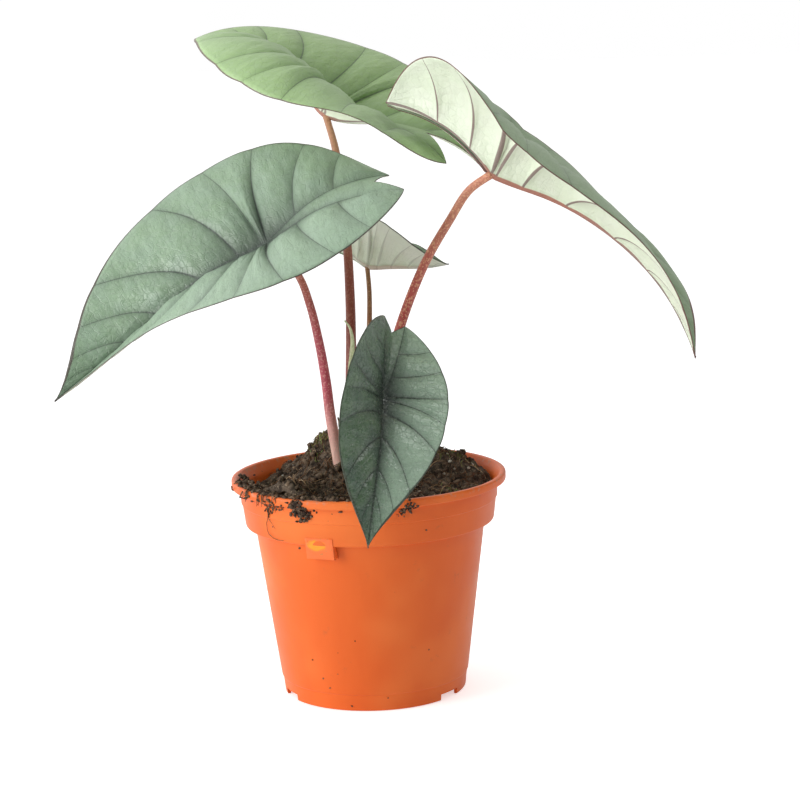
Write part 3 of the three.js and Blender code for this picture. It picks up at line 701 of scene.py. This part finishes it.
def half_width(leaf, x):
    half = leaf["width"] / 2
    if x >= 0:
        return half * (1 - min(x / leaf["front"], 1) ** FRONT_FULLNESS) ** FRONT_TAPER
    lobe = leaf["lobe"] * leaf["width"]
    share = min(-x / leaf["back"], 1)
    return lobe + (half - lobe) * (1 - share ** leaf["shoulder"]) ** leaf["hind_taper"]


def costa(leaf, x):
    return leaf["lobe"] * leaf["width"] * min(max(-x / leaf["back"], 0), 1) ** COSTA_CURVE


def leaf_point(leaf, x, y, lift=0.0):
    u = x / leaf["front"]
    heading = bend(leaf["heading"], u)
    along = direction(bend(leaf["pitch"], u), heading)
    level = direction(0, heading + 90)
    over = along.cross(level)
    roll = radians(bend(leaf["roll"], u))
    side = level * cos(roll) + over * sin(roll)
    up = over * cos(roll) - level * sin(roll)
    half = 0 if y >= 0 else 1
    fold = bend(leaf["fold"][half], u)
    curl = bend(leaf["curl"][half], u) * 2 * abs(y) / leaf["width"]
    rise, slope = radians(fold + curl / 2), radians(fold + curl)
    sign = (y > 0) - (y < 0)
    dimple = leaf["dimple"] * exp(-(x * x + y * y) / (DIMPLE_SPREAD * leaf["width"]) ** 2)
    spine = direction(bend(leaf["pitch"], u, 2, 3), bend(leaf["heading"], u, 2, 3))
    return (
        Vector(leaf["place"]) + spine * x + side * (y * cos(rise) - lift * sign * sin(slope))
        + up * (abs(y) * sin(rise) - dimple + lift * cos(slope))
    )


def vein_point(leaf, s, v):
    k = min(int(s), len(VEINS) - 2)
    near, far = (VEINS[k][i] + (VEINS[k + 1][i] - VEINS[k][i]) * (s - k) for i in (0, 1))
    on_rib = near * (leaf["back"] if near < 0 else leaf["front"])
    on_margin = far * (leaf["back"] if far < 0 else leaf["front"])
    crest = sin(pi * (s - k))
    rib_y = costa(leaf, on_rib)
    scallop = 1 - SCALLOP * (1 - crest) * sin(pi * s / (len(VEINS) - 1))
    room = half_width(leaf, on_margin)
    margin_y = room * scallop
    x = on_rib + (on_margin - on_rib) * (0.45 * v + 0.55 * v ** 2.5)
    y = rib_y + (margin_y - rib_y) * v
    return x, y, near, crest, room, (margin_y - rib_y) * (1 - v)


def crowded(k, t):
    return k + t - 0.6 / (2 * pi) * sin(2 * pi * t)


def rib_strength(share):
    return 0.75 + 0.55 * share if share < 0 else 1 - 0.85 * share


def leaf_half(bm, leaf, layers, side, size):
    rows = ROWS * (len(VEINS) - 1)
    grid = bmesh.ops.create_grid(bm, x_segments=rows, y_segments=COLUMNS, size=1)["verts"]
    for vert in grid:
        row = (vert.co.x + 1) / 2 * (len(VEINS) - 1)
        k = min(int(row + 1e-6), len(VEINS) - 2)
        s = crowded(k, row - k)
        v = max(0, (vert.co.y + 1) / 2) ** 1.6
        x, y, near, crest, room, edge = vein_point(leaf, s, v)
        phase = s - k
        gap = (Vector(vein_point(leaf, k, v)[:2]) - Vector(vein_point(leaf, k + 1, v)[:2])).length
        before = phase * gap + FAR_FROM_VEINS * (VEIN_STRENGTH[k] == 0)
        after = (1 - phase) * gap + FAR_FROM_VEINS * (VEIN_STRENGTH[k + 1] == 0)
        line = min(before, after)
        strength = VEIN_STRENGTH[k] if phase < 0.5 else VEIN_STRENGTH[k + 1]
        wobble = 0.14 * noise.noise(Vector((k * 5.3 + side, v * 4, 2.5)))
        minor = min(abs(phase + wobble - 1 / 3), abs(phase + wobble - 2 / 3)) * gap
        crossing = abs(sin(pi * (v * 6 + 1.4 * noise.noise(Vector((k * 3.1, v * 3, phase * 2 + side))))))
        folds = abs(sin(3 * pi * (phase + wobble)))
        quilt = 0.78 * crest + 0.15 * folds * min(1, 4 * crest) + 0.1 * crossing * crest
        rise = PUFF * leaf["width"] * min(1, 4 * room / leaf["width"]) * quilt
        rise *= min(1, v / 0.25) * (1 - v ** 3)
        beside = y - costa(leaf, x)
        set_leaf_layers(
            vert, layers, leaf, size, x, side * y, near, beside, line, strength, v, edge, minor, room,
        )
        vert.co = leaf_point(leaf, x, side * y, rise)


def leaf_strip(bm, leaf, layers, side, size):
    bands = 3
    rows = ROWS * bands
    grid = bmesh.ops.create_grid(bm, x_segments=rows, y_segments=STRIP_COLUMNS, size=1)["verts"]
    for vert in grid:
        row = (vert.co.x + 1) / 2 * bands
        k = min(int(row + 1e-6), bands - 1)
        s = crowded(k, row - k)
        w = 1 - (1 - (vert.co.y + 1) / 2) ** 1.4
        share = VEINS[k][0] + (VEINS[k + 1][0] - VEINS[k][0]) * (s - k)
        on_rib = share * leaf["back"]
        x = on_rib - leaf["notch"] * (1 - w) * share
        y = costa(leaf, on_rib) * (1 - leaf["web"] * (1 - w))
        rise = 0.5 * PUFF * leaf["width"] * min(1, -3 * share) * leaf["web"] * (1 - w * w)
        beside = costa(leaf, on_rib) - y
        edge = (1 + share) * leaf["back"]
        if leaf["web"] < 1:
            edge = min(edge, w * leaf["web"] * costa(leaf, on_rib))
        set_leaf_layers(
            vert, layers, leaf, size, x, side * y, share, beside,
            line=FAR_FROM_VEINS, strength=1, v=0.5, edge=edge, minor=FAR_FROM_VEINS, room=9,
        )
        vert.co = leaf_point(leaf, x, side * y, rise)


def set_leaf_layers(vert, layers, leaf, size, x, y, share, beside, line, strength, v, edge, minor, room):
    power = rib_strength(share)
    # The dark layer is partly the leaf's own deeper green at the hub and along the ribs, and partly painted
    # shade: the sunken hub, midrib and side-vein creases are darkened, fading with distance from them.
    hub = exp(-((x / size) ** 2 + (1.5 * y / size) ** 2) / 20 ** 2)
    middle = 0.75 * exp(-beside / (2.2 * size)) * power + 0.4 * exp(-beside / (11 * size)) * power
    veins = (0.45 * exp(-line / (0.8 * size)) + 0.42 * exp(-line / (4.5 * size))) * strength * (1 - 0.6 * v)
    fine = 1 if leaf["width"] > 50 else 0.6
    vert[layers["dark"]] = 1 - (1 - 0.7 * hub) * (1 - min(0.9, middle)) * (1 - veins)
    vert[layers["line"]] = line / (0.4 * fine * max(strength, 0.1) * (1.15 - 0.75 * v))
    vert[layers["midrib"]] = beside / (0.95 * fine * (0.25 + 0.75 * power) * (0.55 if share < -0.1 else 1))
    vert[layers["margin"]] = edge / (0.4 * fine * max(0.12, min(1, room / 9)))
    vert[layers["minor"]] = minor / (0.3 * fine)
    vert[layers["warm"]] = max(0, min(1, 1.6 - 1.6 * x / (0.75 * leaf["front"]), 1 + x / 9))
    vert[layers["flat"]] = (x / FLAT_UNIT, y / FLAT_UNIT, 0)
    thin = 1 if share >= 0 else max(0.3, 1 + 3 * share)
    ridge = MIDRIB * size * power * thin * sqrt(max(0, 1 - (beside / (1.4 * size)) ** 2))
    small = SIDE_RIB * size * strength * (1 - v) * exp(-(line / (0.7 * size)) ** 2)
    body = BLADE * (0.4 + 0.6 * min(1, max(edge, 0) / 1.5))
    vert[layers["depth"]] = body + max(ridge, small)


def leaf_mesh(leaf):
    bm = bmesh.new()
    names = ["dark", "line", "midrib", "margin", "minor", "warm", "under", "depth"]
    layers = {name: bm.verts.layers.float.new(name) for name in names}
    layers["flat"] = bm.verts.layers.float_vector.new("flat")
    order = bm.verts.layers.int.new("order")
    size = sqrt(leaf["width"] / FULL_WIDTH)
    for side in (1, -1):
        made = len(bm.faces)
        leaf_half(bm, leaf, layers, side, size)
        leaf_strip(bm, leaf, layers, side, size)
        if side < 0:
            bmesh.ops.reverse_faces(bm, faces=bm.faces[made:])
    bmesh.ops.remove_doubles(bm, verts=bm.verts, dist=0.0003)
    bm.normal_update()
    x, y = 0.3 * leaf["front"], 0.2 * leaf["width"]
    up = leaf_point(leaf, x, y, 1) - leaf_point(leaf, x, y)
    spot = Vector((x / FLAT_UNIT, y / FLAT_UNIT, 0))
    nearest = min(bm.verts, key=lambda v: (v[layers["flat"]] - spot).length)
    if nearest.normal.dot(up) < 0:
        bmesh.ops.reverse_faces(bm, faces=bm.faces)
        bm.normal_update()
    normals = []
    for i, vert in enumerate(bm.verts):
        vert[order] = i
        normals.append(vert.normal.copy())
    top = set(bm.faces)
    sheet = bm.verts[:] + bm.edges[:] + bm.faces[:]
    made = bmesh.ops.extrude_face_region(bm, geom=sheet, use_keep_orig=True)["geom"]
    for vert in made:
        if isinstance(vert, bmesh.types.BMVert):
            vert.co -= normals[vert[order]] * vert[layers["depth"]]
            vert[layers["under"]] = 1
    lower = {item for item in made if isinstance(item, bmesh.types.BMFace)}
    rim = [face for face in bm.faces if face not in top and face not in lower]
    seam = [edge for face in rim for edge in face.edges if any(near in top for near in edge.link_faces)]
    if not seam[0].is_contiguous:
        bmesh.ops.reverse_faces(bm, faces=rim)
    seam = [edge for face in rim for edge in face.edges if any(near in lower for near in edge.link_faces)]
    if not seam[0].is_contiguous:
        bmesh.ops.reverse_faces(bm, faces=list(lower))
    if bm.calc_volume(signed=True) < 0:
        bmesh.ops.reverse_faces(bm, faces=bm.faces)
    return bm


def leaf_finish(name, leaf):
    material, tree, shader = finish(name, leaf["gloss"], Specular_IOR_Level=0.7)

    def layer(label):
        return node(tree, "Attribute", attribute_name=label).outputs["Fac"]

    flat = node(tree, "Attribute", attribute_name="flat").outputs["Vector"]
    under = mask(tree, layer("under"), 0.4, 0.6)
    light, dark = (srgb(code) for code in leaf["upper"])
    blotches = mask(tree, cloud(tree, flat, 9, 4), 0.3, 0.7)
    colour = tint(tree, maths(tree, "MULTIPLY", blotches, 0.22), light, srgb("#86a86c"))
    silver = mask(tree, cloud(tree, flat, 40, 6, 0.7), 0.4, 0.75)
    colour = tint(tree, maths(tree, "MULTIPLY", silver, leaf["silver"]), colour, srgb("#c5d2c4"))
    # Painted sheen: one half of the blade, the leaf's left, is made lighter and more silvery, as much as the
    # last number given for each leaf, to stand in for the light and gloss that fall on that half.
    sheen_half = mask(tree, node(tree, "SeparateXYZ", {0: flat}).outputs["Y"], -0.03, 0.09)
    colour = tint(tree, maths(tree, "MULTIPLY", sheen_half, leaf["painted_sheen"]), colour, srgb("#b4cfb6"))
    # Darker towards the hub, the midrib and the side veins by the dark layer: the leaf's own deeper green
    # there, and painted shade in those sunken creases.
    colour = tint(tree, layer("dark"), colour, dark)
    cells = node(tree, "TexVoronoi", {"Vector": flat, "Scale": 34}, feature="DISTANCE_TO_EDGE")
    net = mask(tree, cells.outputs["Distance"], 0.06, 0.0)
    minor = mask(tree, layer("minor"), 1.6, 0.2)
    fine = maths(tree, "MAXIMUM", maths(tree, "MULTIPLY", net, 0.1), maths(tree, "MULTIPLY", minor, 0.1))
    colour = tint(tree, fine, colour, dark)
    # Fine cross creases, raised in the bump below. Their hollows are darkened as painted shade.
    across = node(tree, "Mapping", {"Vector": flat, "Scale": (26, 8, 1)}).outputs["Vector"]
    creases = cloud(tree, across, 1, 3)
    colour = tint(tree, maths(tree, "MULTIPLY", mask(tree, creases, 0.5, 0.3), 0.12), colour, dark)
    line = maths(tree, "MAXIMUM", mask(tree, layer("line"), 1.5, 0.5), mask(tree, layer("midrib"), 1.2, 0.6))
    colour = tint(tree, maths(tree, "MULTIPLY", line, 0.7), colour, srgb(leaf["vein"]))

    pale, ribs = (srgb(code) for code in leaf["under"])
    below = tint(tree, maths(tree, "MULTIPLY", blotches, 0.25), pale, srgb("#d5e6c2"))
    # The underside darkens a little by the same layer, which is partly painted shade.
    below = tint(tree, maths(tree, "MULTIPLY", layer("dark"), 0.12), below, srgb("#b9c3a6"))
    below = tint(tree, maths(tree, "MULTIPLY", minor, 0.05), below, ribs)
    rib_colour = tint(tree, layer("warm"), ribs, srgb("#a9705f"))
    line = maths(tree, "MULTIPLY", mask(tree, layer("line"), 1.4, 0.7), leaf["veining"])
    below = tint(tree, line, below, ribs)
    line = maths(tree, "MULTIPLY", mask(tree, layer("midrib"), 1.3, 0.9), leaf["veining"])
    below = tint(tree, line, below, rib_colour)

    colour = tint(tree, under, colour, below)
    colour = tint(tree, mask(tree, layer("margin"), 1.3, 0.7), colour, srgb(leaf["margin"]))
    tree.links.new(colour, shader.inputs["Base Color"])
    rough = node(tree, "MapRange", {0: silver, 3: leaf["gloss"] - 0.06, 4: leaf["gloss"] + 0.1}).outputs[0]
    rough = maths(tree, "ADD", rough, maths(tree, "MULTIPLY", under, 0.12))
    tree.links.new(rough, shader.inputs["Roughness"])
    grain = cloud(tree, flat, 120, 3)
    raised = maths(tree, "SUBTRACT", maths(tree, "MULTIPLY", grain, 0.3), maths(tree, "MULTIPLY", net, 0.2))
    raised = maths(tree, "SUBTRACT", raised, maths(tree, "MULTIPLY", minor, 0.2))
    raised = maths(tree, "ADD", raised, maths(tree, "MULTIPLY", creases, 1.6))
    relief(tree, shader, raised, 0.55, 0.0009)
    return material


for name, leaf in LEAVES.items():
    blade = mesh_of("blade_" + name, leaf_mesh(leaf), leaf_finish("leaf_" + name, leaf))
    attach(blade, "root")
    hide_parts("leaf_" + name)

# Leaf stalks
# Round fleshy petioles that stand in the soil and meet their blades from below, a third of the way
# from the notch. They are pink to red-brown, with fine pale speckles.
STALK_SIDES = 20
ROUTE_STEPS = 20
UNDER_BLADE = -0.9
STALKS = {
    "left": (
        [(-11, -7, 92), (-13, -9, 106), (-15.5, -10, 123), (-17, -11, 140), (-19.5, -13, 158),
         (-22.5, -15, 173), (-27, -16.5, 186)],
        (2.6, 1.4), ("#dcb7a8", "#b8485a", "#b2674c"), "#e0a39a",
    ),
    "top": (
        [(-6, 2, 90), (-7, 3, 106), (-6.5, 4, 130), (-5.6, 6, 155), (-5.4, 10, 172), (-6, 19, 196),
         (-9.3, 42, 232)],
        (2.7, 1.5), ("#8a4038", "#8c4a3e", "#b98a6c"), "#a8705c",
    ),
    "right": (
        [(0, -4, 90), (2, -4, 107), (8.5, -4, 135), (16, -4, 161), (27, -4, 187), (38.5, -5, 206),
         (47, -6.5, 218.5)],
        (2.5, 1.7), ("#b8424c", "#b84c46", "#cf8a70"), "#ecb98f",
    ),
    "back": (
        [(-1, 8, 92), (-0.5, 10, 106), (1, 16, 130), (2.6, 24, 157), (3.1, 30, 172)],
        (1.7, 1), ("#a4503c", "#9c5a3e", "#8c6a48"), "#b9906a",
    ),
    "front": (
        [(2, -11, 92), (2.5, -13, 106), (3, -19, 121), (3.8, -30, 134)],
        (1.8, 1.2), ("#c98a80", "#a8505a", "#8c5a48"), "#d9a08a",
    ),
}


def route(points, steps):
    points = [Vector(point) for point in points]
    ends = [2 * points[0] - points[1], *points, 2 * points[-1] - points[-2]]
    fine = []
    for a, b, c, d in zip(ends, ends[1:], ends[2:], ends[3:]):
        t1 = (b - a).length ** 0.5
        t2 = t1 + (c - b).length ** 0.5
        t3 = t2 + (d - c).length ** 0.5
        for i in range(ROUTE_STEPS):
            t = t1 + (t2 - t1) * i / ROUTE_STEPS
            ab = a.lerp(b, t / t1)
            bc = b.lerp(c, (t - t1) / (t2 - t1))
            cd = c.lerp(d, (t - t2) / (t3 - t2))
            first, second = ab.lerp(bc, t / t2), bc.lerp(cd, (t - t1) / (t3 - t1))
            fine.append(first.lerp(second, (t - t1) / (t2 - t1)))
    fine.append(points[-1])
    reach = [0]
    for a, b in zip(fine, fine[1:]):
        reach.append(reach[-1] + (b - a).length)
    even = []
    k = 0
    for i in range(steps + 1):
        goal = reach[-1] * i / steps
        while k < len(fine) - 2 and reach[k + 1] < goal:
            k += 1
        even.append(fine[k].lerp(fine[k + 1], (goal - reach[k]) / (reach[k + 1] - reach[k])))
    return even


def stalk_finish(name, colours, speckle, roughness=0.42):
    material, tree, shader = finish(name, roughness, Specular_IOR_Level=0.45)
    where = node(tree, "TexCoord").outputs["Object"]
    along = node(tree, "Attribute", attribute_name="along").outputs["Fac"]
    foot, middle, end = (srgb(code) for code in colours)
    colour = tint(tree, mask(tree, along, 0.12, 0.4), foot, middle)
    colour = tint(tree, mask(tree, along, 0.5, 0.95), colour, end)
    streaks = node(tree, "Mapping", {"Vector": where, "Scale": (1, 1, 0.08)}).outputs["Vector"]
    dim = mask(tree, cloud(tree, streaks, 900, 3), 0.35, 0.7)
    colour = tint(tree, maths(tree, "MULTIPLY", dim, 0.3), colour, srgb("#7a2f30"))
    spots = mask(tree, cloud(tree, where, 1100, 3, 0.6), 0.52, 0.6)
    colour = tint(tree, maths(tree, "MULTIPLY", spots, 0.6), colour, srgb(speckle))
    tree.links.new(colour, shader.inputs["Base Color"])
    relief(tree, shader, cloud(tree, streaks, 700, 3), 0.25, 0.0003)
    return material


def stalk_mesh(points, radii, steps, swell):
    bm = bmesh.new()
    along = bm.verts.layers.float.new("along")
    thick = []
    for i in range(steps + 1):
        t = i / steps
        k = min(int(t * (len(radii) - 1)), len(radii) - 2)
        radius = radii[k] + (radii[k + 1] - radii[k]) * (t * (len(radii) - 1) - k)
        thick.append(radius * (1 + swell * exp(-t / 0.08) + 0.3 * swell * exp(-(1 - t) / 0.015)))
    tube(bm, route(points, steps), thick, STALK_SIDES, along)
    close(bm)
    return bm


for name, (points, radii, colours, speckle) in STALKS.items():
    joint = leaf_point(LEAVES[name], 0, 0, UNDER_BLADE)
    bm = stalk_mesh([*points, joint], radii, 90, 0.35)
    stalk = mesh_of("stalk_" + name, bm, stalk_finish("stalk_" + name, colours, speckle))
    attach(stalk, "root")
    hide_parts("petiole_" + name)

# New shoot
# The next leaf, still rolled in its pale green sheath, with a soft hooked tip.
points = [
    (-6, -5.5, 95), (-6.2, -6, 107), (-6.2, -6, 125), (-6, -6, 142), (-5.2, -6.5, 151),
    (-5, -7, 157), (-6, -7, 161.5), (-8, -7.2, 164.5),
]
bm = stalk_mesh(points, (1.9, 2, 2, 1.9, 1.6, 1.3, 0.9, 0.3), 70, 0.2)
skin = stalk_finish("shoot_green", ("#c9cfae", "#c2d09c", "#dfe6c0"), "#aebf86", 0.5)
shoot = mesh_of("rolled_leaf", bm, skin)
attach(shoot, "root")
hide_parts("new_shoot")

# Dry sheath
# A withered brown scale leaf that stands beside the left stalk, thin and papery. It grew from the
# same stem as the stalks and crumpled as it dried.
CRUMPLE_DEPTH = 0.35
CRUMPLE_SIZE = 1.6
points = [(-8.6, -12.4, 99), (-9.6, -13.2, 107), (-11, -14.2, 117), (-12.2, -14.8, 124)]
bm = stalk_mesh(points, (1.3, 1.3, 0.9, 0.3), 40, 0)
for vert in bm.verts:
    spots = [vert.co / CRUMPLE_SIZE + Vector((20 * axis, 0, 0)) for axis in (1, 2, 3)]
    vert.co += CRUMPLE_DEPTH * Vector([noise.noise(spot) for spot in spots])
paper = soil_finish("dry_scale", "#2e2119", "#57402c", "#8a6a48")
scale = mesh_of("dry_scale", bm, paper)
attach(scale, "root")
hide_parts("dry_sheath")

size = {"cad": [list(v) for v in cad_box], "visual": [list(v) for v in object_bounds()]}
